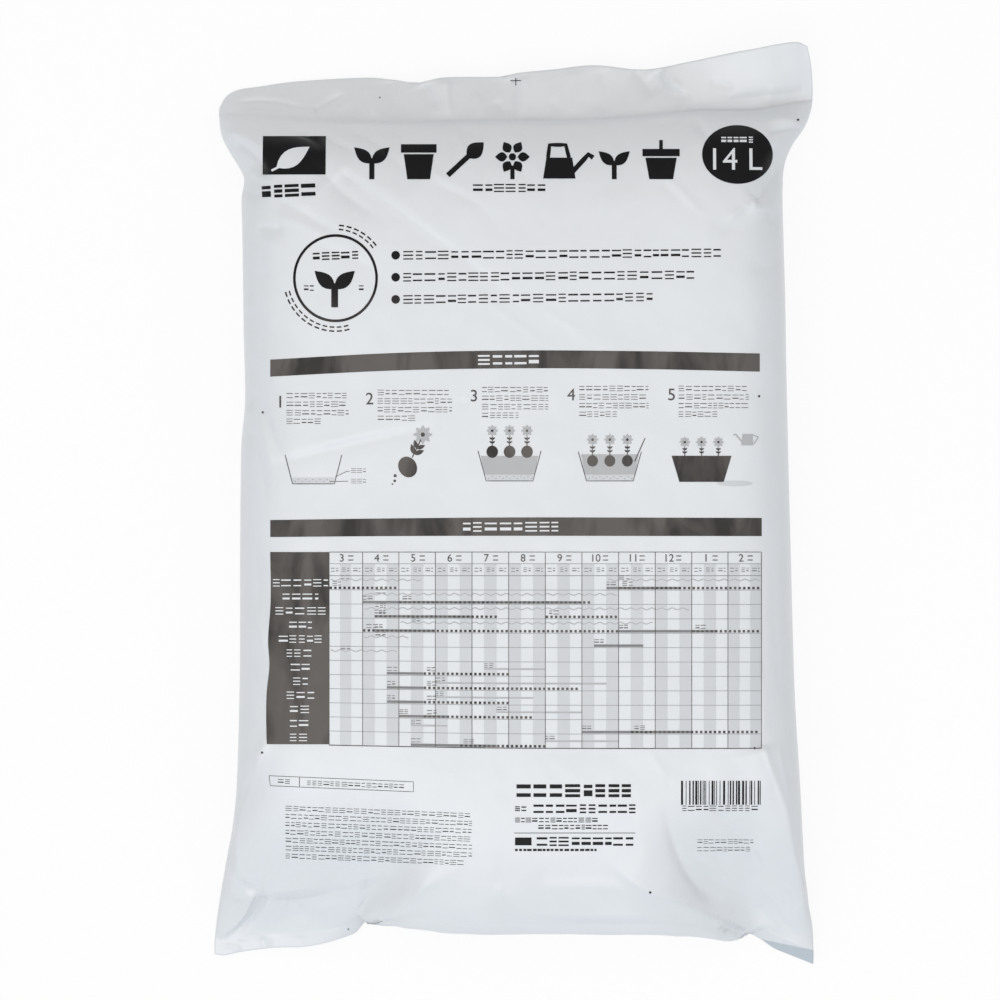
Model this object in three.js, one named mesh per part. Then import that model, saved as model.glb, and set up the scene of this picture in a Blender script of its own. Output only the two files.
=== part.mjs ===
// A filled and sealed bag of compost, lying on its back with the printed side up.
// X runs across the bag, Y along it towards the top band, Z up from the floor. Millimetres.
import * as THREE from 'three';

const LENGTH = 571.5;      // over all, from the lowest ear to the highest corner
const WIDTH = 344;         // across the body, side to side
const THICK = 92;          // height of the filled body above the floor
const TOP_BAND = 37;       // flat welded band beyond the crease at the top
const BOTTOM_BAND = 8;     // narrow welded band at the bottom
const OVERHANG = 24.5;     // how far the full end runs out over the bottom weld
const WELD = 1.8;          // thickness of a welded band
const COLUMNS = 42;        // grid steps across each face
const BODY_ROWS = 58;      // grid steps from the bottom weld to the top crease

const HALF_W = WIDTH / 2;
const HALF_L = LENGTH / 2;

const clamp01 = (v) => Math.min(1, Math.max(0, v));
const smooth = (from, to, v) => {
  const t = clamp01((v - from) / (to - from));
  return t * t * (3 - 2 * t);
};

// A smooth curve through [place, value] pairs.
function curve(...points) {
  const slope = points.map((p, i) => {
    const a = points[Math.max(0, i - 1)], b = points[Math.min(points.length - 1, i + 1)];
    return (b[1] - a[1]) / (b[0] - a[0]);
  });
  return (at) => {
    let i = 0;
    while (i < points.length - 2 && at > points[i + 1][0]) i++;
    const [x0, y0] = points[i], [x1, y1] = points[i + 1];
    const h = x1 - x0, t = clamp01((at - x0) / h), t2 = t * t, t3 = t2 * t;
    return y0 * (2 * t3 - 3 * t2 + 1) + slope[i] * h * (t3 - 2 * t2 + t) +
      y1 * (3 * t2 - 2 * t3) + slope[i + 1] * h * (t3 - t2);
  };
}

// The sides seen from above: place along the bag in half lengths, then reach in half widths.
const leftSide = curve([-0.953, -1.084], [-0.904, -1.075], [-0.831, -1.056], [-0.758, -1.034],
  [-0.7, -1.016], [-0.613, -1.002], [-0.371, -0.991], [-0.121, -0.99], [0.024, -0.988], [0.128, -0.985],
  [0.223, -0.972], [0.377, -0.977], [0.592, -0.982], [0.662, -0.985], [0.704, -0.976], [0.729, -0.994],
  [0.762, -1.028], [0.799, -1.058], [0.845, -1.067], [0.87, -1.064]);
const rightSide = curve([-0.975, 1.08], [-0.918, 1.075], [-0.856, 1.057], [-0.783, 1.045],
  [-0.613, 1.03], [-0.42, 1.011], [-0.107, 0.996], [0.268, 0.981], [0.446, 0.976], [0.591, 0.969],
  [0.679, 0.967], [0.737, 0.975], [0.776, 1.001], [0.819, 1.049], [0.858, 1.072], [0.89, 1.076],
  [0.93, 1.074], [0.96, 1.068], [0.993, 1.056]);

// The bottom weld and the top crease, seen from above: place across in half widths (left to
// right), then place along in half lengths.
const bottomWeld = curve([-1, -0.953], [-0.97, -0.956], [-0.92, -0.949], [-0.8, -0.939], [-0.7, -0.937],
  [-0.62, -0.927], [-0.52, -0.91], [-0.46, -0.893], [-0.38, -0.888], [-0.2, -0.89], [0.3, -0.891],
  [0.6, -0.898], [0.76, -0.915], [0.82, -0.924], [0.87, -0.941], [0.93, -0.957], [1, -0.975]);
const bottomWeldHeight = curve([-1, 3], [-0.85, 6], [-0.68, 10], [-0.57, 12], [-0.5, 10],
  [-0.4, 8], [0.6, 8], [0.78, 9], [0.88, 12], [0.95, 12], [1, 9]);
const bottomDrop = curve([-1, 0.35], [-0.6, 0.35], [-0.46, 0.8], [0.6, 0.8], [0.84, 0.85],
  [0.9, 0.97], [1, 0.97]);
const topCrease = curve([-1, 0.845], [-0.7, 0.833], [-0.4, 0.828], [0, 0.832], [0.2, 0.832],
  [0.42, 0.841], [0.6, 0.853], [0.8, 0.855], [0.9, 0.866], [1, 0.876]);
const topCreaseHeight = curve([-1, 12], [-0.93, 20], [-0.8, 25], [-0.5, 28], [0, 30],
  [0.5, 28], [0.8, 21], [1, 14]);
// The top band: how much of its width shows from above, for it droops in soft waves, and the
// height of its free edge.
const topReach = curve([-1, 0.12], [-0.98, 0.3], [-0.94, 0.43], [-0.87, 0.51], [-0.74, 0.64],
  [-0.5, 0.745], [-0.4, 0.71], [-0.33, 0.66], [-0.24, 0.74], [-0.03, 0.74], [0.01, 0.79], [0.12, 0.85],
  [0.27, 0.91], [0.45, 0.77], [0.6, 0.82], [0.78, 0.99], [0.92, 1.01], [0.97, 0.985], [1, 0.9]);
const topEdgeHeight = curve([-1, 3], [-0.85, 2], [-0.6, 4], [-0.38, 9], [-0.27, 16], [-0.1, 11],
  [0.04, 17], [0.2, 12], [0.45, 15], [0.6, 21], [0.8, 30], [0.94, 31], [1, 29]);

// Between the two flat ears the full end hangs out over the bottom weld, whose band is tucked
// down under it: 1 where it does, 0 in the ears.
const tucked = (across) => smooth(-0.535, -0.48, across) *
  (0.82 + 0.18 * smooth(-0.5, -0.15, across)) * (1 - smooth(0.72, 0.88, across));

// In the ears the compost doesn't fill the bag and the film rises gently from the weld: 1 in the
// ears, 0 at the full end between them.
const slack = (across) => 1 - smooth(-0.66, -0.28, across) * (1 - smooth(0.42, 0.86, across));

// Grid columns lie closer together towards both sides, where the film turns under.
function columnPlace(i) {
  const even = -1 + 2 * i / COLUMNS;
  return 0.5 * even + 0.5 * Math.sin(even * Math.PI / 2);
}

// Folds of the film: a path in half widths and half lengths, height (below 0 is a valley) and
// reach to each side in millimetres.
const FOLDS = [
  // from the upper left neck towards the middle
  { path: [[-0.6, 0.71], [-0.4, 0.63], [-0.22, 0.55], [-0.04, 0.46], [0.09, 0.38]], high: 4, wide: 9 },
  { path: [[-0.69, 0.74], [-0.62, 0.68], [-0.51, 0.61], [-0.4, 0.55]], high: -4.5, wide: 9 },
  { path: [[-0.84, 0.67], [-0.7, 0.62], [-0.6, 0.57]], high: 3.5, wide: 8 },
  { path: [[-1, 0.78], [-0.92, 0.73], [-0.86, 0.69]], high: -5.5, wide: 8 },
  { path: [[-0.34, 0.72], [-0.22, 0.68], [-0.11, 0.63], [-0.05, 0.57]], high: -2.5, wide: 8 },
  // the pinch and the corner at the upper right
  { path: [[0.99, 0.75], [0.94, 0.71], [0.86, 0.645]], high: -5, wide: 8 },
  { path: [[0.93, 0.68], [0.86, 0.64], [0.72, 0.61]], high: 3.5, wide: 7 },
  { path: [[1.05, 0.81], [0.95, 0.81], [0.88, 0.79]], high: -4, wide: 7 },
  // across the left side
  { path: [[-0.95, 0.07], [-0.75, 0.1], [-0.47, 0.14], [-0.23, 0.18]], high: -3, wide: 7 },
  { path: [[-0.96, 0.26], [-0.91, 0.2], [-0.81, 0.07]], high: -3, wide: 8 },
  // the lower left ear and the notch beside it
  { path: [[-0.9, -0.53], [-0.96, -0.62], [-1, -0.73], [-0.98, -0.81], [-0.92, -0.84]], high: 4.5, wide: 8 },
  { path: [[-0.9, -0.85], [-0.72, -0.84], [-0.56, -0.845]], high: -5, wide: 9 },
  { path: [[-0.59, -0.87], [-0.5, -0.825], [-0.45, -0.79]], high: -4, wide: 8 },
  { path: [[-0.54, -0.91], [-0.44, -0.88], [-0.34, -0.835], [-0.17, -0.785]], high: 5.5, wide: 7 },
  // the lower right ear
  { path: [[0.33, -0.78], [0.48, -0.84], [0.62, -0.875], [0.82, -0.925]], high: 5, wide: 8 },
  { path: [[0.52, -0.63], [0.57, -0.76], [0.64, -0.83], [0.79, -0.89]], high: -4.5, wide: 9 },
  { path: [[0.67, -0.62], [0.81, -0.73], [0.92, -0.84]], high: -3.5, wide: 9 },
  { path: [[0.88, -0.5], [0.95, -0.63], [1.02, -0.78], [1.07, -0.94]], high: 3.5, wide: 7 },
];

// Height that the folds add at one place.
function foldHeight(across, along) {
  const x = across * HALF_W, y = along * HALF_L;
  let sum = 0;
  for (const { path, high, wide } of FOLDS) {
    let best = Infinity, where = 0;
    for (let i = 0; i + 1 < path.length; i++) {
      const [ax, ay] = [path[i][0] * HALF_W, path[i][1] * HALF_L];
      const [bx, by] = [path[i + 1][0] * HALF_W, path[i + 1][1] * HALF_L];
      const t = clamp01(((x - ax) * (bx - ax) + (y - ay) * (by - ay)) /
        ((bx - ax) ** 2 + (by - ay) ** 2));
      const off = Math.hypot(x - ax - t * (bx - ax), y - ay - t * (by - ay));
      if (off < best) [best, where] = [off, (i + t) / (path.length - 1)];
    }
    const fade = smooth(0, 0.25, where) * (1 - smooth(0.7, 1, where));
    sum += high * fade * Math.exp(-((best / wide) ** 2));
  }
  return sum;
}

// One row of the body. step runs from 0 at the bottom weld to 1 at the top crease.
function bodyRow(step) {
  // rows lie closer together near both ends, where the film turns
  const go = step - 0.09 * Math.sin(2 * Math.PI * step);
  const bottomEnd = clamp01(go / 0.24), topEnd = clamp01((1 - go) / 0.32);
  const fullRise = Math.sqrt(1 - (1 - bottomEnd) ** 2.8), slackRise = (1 - (1 - bottomEnd) ** 2) ** 1.3;
  const front = [], back = [];
  for (let i = 0; i <= COLUMNS; i++) {
    const across = columnPlace(i);
    const hang = tucked(across) * (go / 0.03) * Math.exp(1 - go / 0.03);
    const along = bottomWeld(across) * (1 - go) + topCrease(across) * go - hang * OVERHANG / HALF_L;
    const left = leftSide(bottomWeld(-1) * (1 - go) + topCrease(-1) * go);
    const right = rightSide(bottomWeld(1) * (1 - go) + topCrease(1) * go);
    const x = HALF_W * (left + (right - left) * (across + 1) / 2), y = HALF_L * along;
    const weld = bottomWeldHeight(across) * (1 - smooth(0, 0.16, go)) +
      topCreaseHeight(across) * smooth(0.82, 1, go);
    const middle = 0.4 * THICK * smooth(0, 0.16, go) * (1 - smooth(0.82, 1, go));
    const seam = weld + middle;
    const rise = fullRise + (slackRise - fullRise) * slack(across);
    const lift = rise * Math.sqrt(1 - (1 - topEnd) ** 2.6);
    const side = (1 - Math.abs(across) ** (2.6 + 8.4 * lift)) ** (1 / 2.2);
    const crown = THICK * (1 - 0.03 * across * across);
    const fold = foldHeight(across, along) * side * smooth(0, 0.1, go) * smooth(0, 0.1, 1 - go);
    front.push([x, y, seam + WELD / 2 + (crown - seam) * lift * side + fold]);
    const sunk = clamp01(1.15 * Math.sqrt(1 - across ** 4) *
      smooth(0, 0.07, go) * smooth(0, 0.14, 1 - go));
    back.push([x, y, Math.max(0, (seam - WELD / 2) * (1 - sunk))]);
  }
  return [...front, ...back.reverse()];
}

// A row of a welded band: out runs from 0 at the weld line to 1 at the free edge.
function bandRow(top, out) {
  const front = [], back = [];
  for (let i = 0; i <= COLUMNS; i++) {
    const across = columnPlace(i);
    let x, y, z;
    if (top) {
      const spread = [
        leftSide(topCrease(-1) + out * topReach(-1) * TOP_BAND / HALF_L) * HALF_W,
        rightSide(topCrease(1) + out * topReach(1) * TOP_BAND / HALF_L) * HALF_W];
      x = spread[0] + (spread[1] - spread[0]) * (across + 1) / 2;
      y = HALF_L * topCrease(across) + out * TOP_BAND * topReach(across);
      z = topCreaseHeight(across) * (1 - out) + topEdgeHeight(across) * out;
    } else {
      const spread = [leftSide(-0.953) * HALF_W, rightSide(-0.975) * HALF_W];
      x = spread[0] + (spread[1] - spread[0]) * (across + 1) / 2;
      const down = tucked(across);
      y = HALF_L * bottomWeld(across) - out * BOTTOM_BAND * (1 - 0.6 * down);
      z = bottomWeldHeight(across) * (1 - out * bottomDrop(across));
    }
    front.push([x, y, z + WELD / 2]);
    back.push([x, y, z - WELD / 2]);
  }
  return [...front, ...back.reverse()];
}

// Closes a stack of equal rings into one solid.
function solidFromRings(rings) {
  const size = rings[0].length, points = rings.flat(2), faces = [];
  for (let r = 0; r + 1 < rings.length; r++) {
    for (let i = 0; i < size; i++) {
      const a = r * size + i, b = r * size + (i + 1) % size, c = a + size, d = b + size;
      faces.push(a, b, d, a, d, c);
    }
  }
  const last = (rings.length - 1) * size;
  for (let i = 0; i < size / 2 - 1; i++) {
    const j = size - 1 - i;
    faces.push(i, j, j - 1, i, j - 1, i + 1);
    faces.push(last + i, last + j - 1, last + j, last + i, last + i + 1, last + j - 1);
  }
  const geometry = new THREE.BufferGeometry();
  geometry.setAttribute('position', new THREE.Float32BufferAttribute(points, 3));
  geometry.setIndex(faces);
  geometry.computeVertexNormals();
  return geometry;
}

function filledBag() {
  const rings = [bandRow(false, 1)];
  for (let r = 0; r <= BODY_ROWS; r++) rings.push(bodyRow(r / BODY_ROWS));
  for (const out of [0.3, 0.65, 1]) rings.push(bandRow(true, out));
  const film = new THREE.MeshStandardMaterial({ color: 0xe1e5e9, roughness: 0.35 });
  film.name = 'printed_film';
  const mesh = new THREE.Mesh(solidFromRings(rings), film);
  mesh.name = 'filled_bag';
  // the origin is under the middle of the outline
  mesh.geometry.computeBoundingBox();
  const { min, max } = mesh.geometry.boundingBox;
  mesh.geometry.translate(-(min.x + max.x) / 2, -(min.y + max.y) / 2, 0);
  return mesh;
}

const bag = new THREE.Group();
bag.name = 'compost_bag';
bag.add(filledBag());

export default bag;
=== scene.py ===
import math

import bmesh
import bpy
import numpy as np
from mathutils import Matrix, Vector
from mathutils.bvhtree import BVHTree


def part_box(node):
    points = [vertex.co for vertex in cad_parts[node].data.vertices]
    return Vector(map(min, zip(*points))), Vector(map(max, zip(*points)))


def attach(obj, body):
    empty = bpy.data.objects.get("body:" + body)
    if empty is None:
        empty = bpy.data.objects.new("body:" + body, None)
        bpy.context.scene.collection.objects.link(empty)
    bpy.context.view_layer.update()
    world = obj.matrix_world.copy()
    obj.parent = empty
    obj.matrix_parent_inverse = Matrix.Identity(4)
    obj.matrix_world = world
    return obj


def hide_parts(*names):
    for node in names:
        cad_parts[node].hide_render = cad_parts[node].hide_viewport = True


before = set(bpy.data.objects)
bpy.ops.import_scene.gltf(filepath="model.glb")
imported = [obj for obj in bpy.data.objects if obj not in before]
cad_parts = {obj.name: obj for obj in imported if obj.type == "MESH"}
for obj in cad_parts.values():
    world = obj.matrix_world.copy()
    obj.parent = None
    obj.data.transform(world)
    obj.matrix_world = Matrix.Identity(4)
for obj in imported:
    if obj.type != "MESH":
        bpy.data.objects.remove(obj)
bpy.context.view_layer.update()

# Viewpoint. The bag lies on its back and is looked at from straight above through a long lens. At
# half the bag's height the picture is 620 mm wide, as in the photograph.
CAMERA_HEIGHT = 16.0
PICTURE_WIDTH = 0.620
PICTURE_PLANE = 0.045
PICTURE_CENTRE = (-0.0087, 0.0022)
SENSOR = 36

camera = bpy.data.objects.new("camera", bpy.data.cameras.new("camera"))
bpy.context.collection.objects.link(camera)
camera.location = (*PICTURE_CENTRE, CAMERA_HEIGHT)
camera.data.sensor_width = SENSOR
camera.data.lens = SENSOR * (CAMERA_HEIGHT - PICTURE_PLANE) / PICTURE_WIDTH
camera.data.clip_end = 100
bpy.context.scene.camera = camera
bpy.context.scene.view_settings.view_transform = "Standard"


# Studio. A white table top without end, which glows to the eye but lights nothing, a sky that is
# brightest overhead and falls off towards the walls, and one wide lamp above the bag's lower left.
class Socket:
    """An output of a shader node. Arithmetic on it adds Math nodes."""

    def __init__(self, shader, output):
        self.shader, self.output = shader, output

    def math(self, operation, *values):
        return self.shader.node("ShaderNodeMath", {"operation": operation}, dict(enumerate(values)))

    def __add__(self, other):
        return self.math("ADD", self, other)

    def __radd__(self, other):
        return self.math("ADD", other, self)

    def __sub__(self, other):
        return self.math("SUBTRACT", self, other)

    def __rsub__(self, other):
        return self.math("SUBTRACT", other, self)

    def __mul__(self, other):
        return self.math("MULTIPLY", self, other)

    def __rmul__(self, other):
        return self.math("MULTIPLY", other, self)

    def __pow__(self, other):
        return self.math("POWER", self, other)

    def within(self, low, high):
        return self.shader.node(
            "ShaderNodeMapRange", {"clamp": True}, {"Value": self, "From Min": low, "From Max": high})


class Shader:
    """The node tree of a material or of the world."""

    def __init__(self, owner):
        owner.use_nodes = True
        self.owner, self.tree = owner, owner.node_tree
        self.tree.nodes.clear()

    def node(self, kind, settings=None, inputs=None, output=0):
        made = self.tree.nodes.new(kind)
        for key, value in (settings or {}).items():
            setattr(made, key, value)
        for key, value in (inputs or {}).items():
            if isinstance(value, Socket):
                self.tree.links.new(value.output, made.inputs[key])
            else:
                made.inputs[key].default_value = value
        return Socket(self, made.outputs[output]) if made.outputs else made


def finished(name):
    return Shader(bpy.data.materials.new(name))


FLOOR_HALF = 22.0
FLOOR_HEIGHT = -0.0002
FLOOR_WHITE = (0.86, 0.86, 0.86, 1)
FLOOR_GLOW = 0.91

floor_mesh = bpy.data.meshes.new("floor")
floor_mesh.from_pydata(
    [(x * FLOOR_HALF, y * FLOOR_HALF, FLOOR_HEIGHT) for x, y in ((-1, -1), (1, -1), (1, 1), (-1, 1))],
    [], [(0, 1, 2, 3)])
floor = bpy.data.objects.new("floor", floor_mesh)
bpy.context.collection.objects.link(floor)

floor_paint = finished("table_top")
seen = floor_paint.node("ShaderNodeLightPath")
seen_rays = [Socket(floor_paint, seen.output.node.outputs[name])
             for name in ("Is Camera Ray", "Is Glossy Ray", "Is Transmission Ray")]
seen_by_eye = (seen_rays[0] + seen_rays[1] + seen_rays[2]).within(0, 1)
lit_paint = floor_paint.node("ShaderNodeBsdfDiffuse", {}, {"Color": FLOOR_WHITE})
glow = floor_paint.node("ShaderNodeEmission", {}, {"Color": (1, 1, 1, 1), "Strength": 1.0})
floor_surface = floor_paint.node(
    "ShaderNodeMixShader", {}, {0: seen_by_eye * FLOOR_GLOW, 1: lit_paint, 2: glow})
floor_paint.node("ShaderNodeOutputMaterial", {}, {"Surface": floor_surface})
floor_mesh.materials.append(floor_paint.owner)

SKY_OVERHEAD = (1.16, 1.12, 1.08, 1)
SKY_AT_WALLS = (0.36, 0.375, 0.395, 1)
SKY_AT_FOOT = (0.30, 0.40, 0.51, 1)

sky = Shader(bpy.data.worlds.new("studio"))
bpy.context.scene.world = sky.owner
direction = sky.node("ShaderNodeTexCoord", output="Generated")
upward = sky.node("ShaderNodeSeparateXYZ", {}, {"Vector": direction}, output="Z").within(0, 1)
footward = sky.node("ShaderNodeSeparateXYZ", {}, {"Vector": direction}, output="Y").within(0.1, -0.6)
low_sky = sky.node(
    "ShaderNodeMix", {"data_type": "RGBA"},
    {"Factor": footward, "A": SKY_AT_WALLS, "B": SKY_AT_FOOT}, output="Result")
sky_colour = sky.node(
    "ShaderNodeMix", {"data_type": "RGBA"},
    {"Factor": upward ** 1.5, "A": low_sky, "B": SKY_OVERHEAD}, output="Result")
sky.node("ShaderNodeOutputWorld", {},
         {"Surface": sky.node("ShaderNodeBackground", {}, {"Color": sky_colour, "Strength": 1.0})})

LAMP_SIZE, LAMP_POWER = 2.2, 19
LAMP_PLACE = (-0.5, -1.15, 2.5)

lamp = bpy.data.objects.new("lamp", bpy.data.lights.new("lamp", "AREA"))
bpy.context.collection.objects.link(lamp)
lamp.data.shape, lamp.data.size = "DISK", LAMP_SIZE
lamp.data.energy = LAMP_POWER
lamp.location = LAMP_PLACE
lamp.rotation_euler = (-lamp.location).to_track_quat("-Z", "Y").to_euler()
lamp.visible_camera = False


# Filled bag. A tube of white polyethylene film, welded flat across the top and along the bottom,
# with the compost packed inside: one skin, drawn in folds towards the welds and the two ears. All
# sizes are in mm, and a place across or along it is a share of its half width or half length.
cad_low, cad_high = (np.array(corner) * 1000 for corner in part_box("filled_bag"))
EAR_REACH = 1.082
HALF_W = (cad_high[0] - cad_low[0]) / 2 / EAR_REACH
HALF_L = 285.75
THICK = 92.0
TOP_BAND = 37.0
BOTTOM_BAND = 8.0
OVERHANG = 24.5
WELD = 1.8
COLUMNS, BACK_COLUMNS = 260, 52
BODY_ROWS, TOP_ROWS, BOTTOM_ROWS = 286, 22, 8


def smooth(start, end, value):
    t = np.clip((value - start) / (end - start), 0, 1)
    return t * t * (3 - 2 * t)


def curve(*points):
    """A smooth curve through (place, value) points."""
    at, value = np.array(points, float).T
    i = np.arange(len(at))
    before, after = np.maximum(i - 1, 0), np.minimum(i + 1, len(at) - 1)
    slope = (value[after] - value[before]) / (at[after] - at[before])

    def evaluate(place):
        k = np.clip(np.searchsorted(at, place) - 1, 0, len(at) - 2)
        span = at[k + 1] - at[k]
        t = np.clip((place - at[k]) / span, 0, 1)
        return (value[k] * (2 * t**3 - 3 * t**2 + 1) + slope[k] * span * (t**3 - 2 * t**2 + t)
                + value[k + 1] * (3 * t**2 - 2 * t**3) + slope[k + 1] * span * (t**3 - t**2))

    return evaluate


left_side = curve(
    (-0.953, -1.084), (-0.904, -1.075), (-0.831, -1.056), (-0.758, -1.034), (-0.7, -1.016),
    (-0.613, -1.002), (-0.371, -0.991), (-0.121, -0.99), (0.024, -0.988), (0.128, -0.985),
    (0.223, -0.972), (0.377, -0.977), (0.592, -0.982), (0.662, -0.985), (0.704, -0.976),
    (0.729, -0.994), (0.762, -1.028), (0.799, -1.058), (0.845, -1.067), (0.87, -1.064))
right_side = curve(
    (-0.975, 1.08), (-0.918, 1.075), (-0.856, 1.057), (-0.783, 1.045), (-0.613, 1.03), (-0.42, 1.011),
    (-0.107, 0.996), (0.268, 0.981), (0.446, 0.976), (0.591, 0.969), (0.679, 0.967), (0.737, 0.975),
    (0.776, 1.001), (0.819, 1.049), (0.858, 1.072), (0.89, 1.076), (0.93, 1.074), (0.96, 1.068),
    (0.993, 1.056))
bottom_weld = curve(
    (-1, -0.953), (-0.97, -0.956), (-0.92, -0.949), (-0.8, -0.939), (-0.7, -0.937), (-0.62, -0.927),
    (-0.53, -0.907), (-0.485, -0.888), (-0.38, -0.886), (-0.2, -0.89), (0.3, -0.891), (0.6, -0.898),
    (0.76, -0.915), (0.82, -0.924), (0.87, -0.941), (0.93, -0.957), (1, -0.975))
bottom_weld_height = curve(
    (-1, 3), (-0.85, 6), (-0.68, 10), (-0.57, 12), (-0.5, 10), (-0.4, 8), (0.6, 8), (0.78, 9),
    (0.88, 12), (0.95, 12), (1, 9))
bottom_drop = curve(
    (-1, 0.35), (-0.6, 0.35), (-0.46, 0.8), (0.6, 0.8), (0.84, 0.85), (0.9, 0.97), (1, 0.97))
top_crease = curve(
    (-1, 0.845), (-0.7, 0.833), (-0.4, 0.828), (0, 0.832), (0.2, 0.832), (0.42, 0.841),
    (0.6, 0.853), (0.8, 0.855), (0.9, 0.866), (1, 0.876))
top_crease_height = curve(
    (-1, 12), (-0.93, 20), (-0.8, 25), (-0.5, 28), (0, 30), (0.5, 28), (0.8, 21), (1, 14))
top_reach = curve(
    (-1, 0.12), (-0.98, 0.3), (-0.94, 0.43), (-0.87, 0.51), (-0.74, 0.64), (-0.5, 0.745), (-0.4, 0.71),
    (-0.33, 0.66), (-0.24, 0.74), (-0.03, 0.74), (0.01, 0.79), (0.12, 0.85), (0.27, 0.91), (0.45, 0.77),
    (0.6, 0.82), (0.78, 0.99), (0.92, 1.01), (0.97, 0.985), (1, 0.9))
top_edge_height = curve(
    (-1, 3), (-0.85, 2), (-0.6, 4), (-0.38, 9), (-0.27, 16), (-0.1, 11), (0.04, 17), (0.2, 12),
    (0.45, 15), (0.6, 21), (0.8, 30), (0.94, 31), (1, 29))

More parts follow.
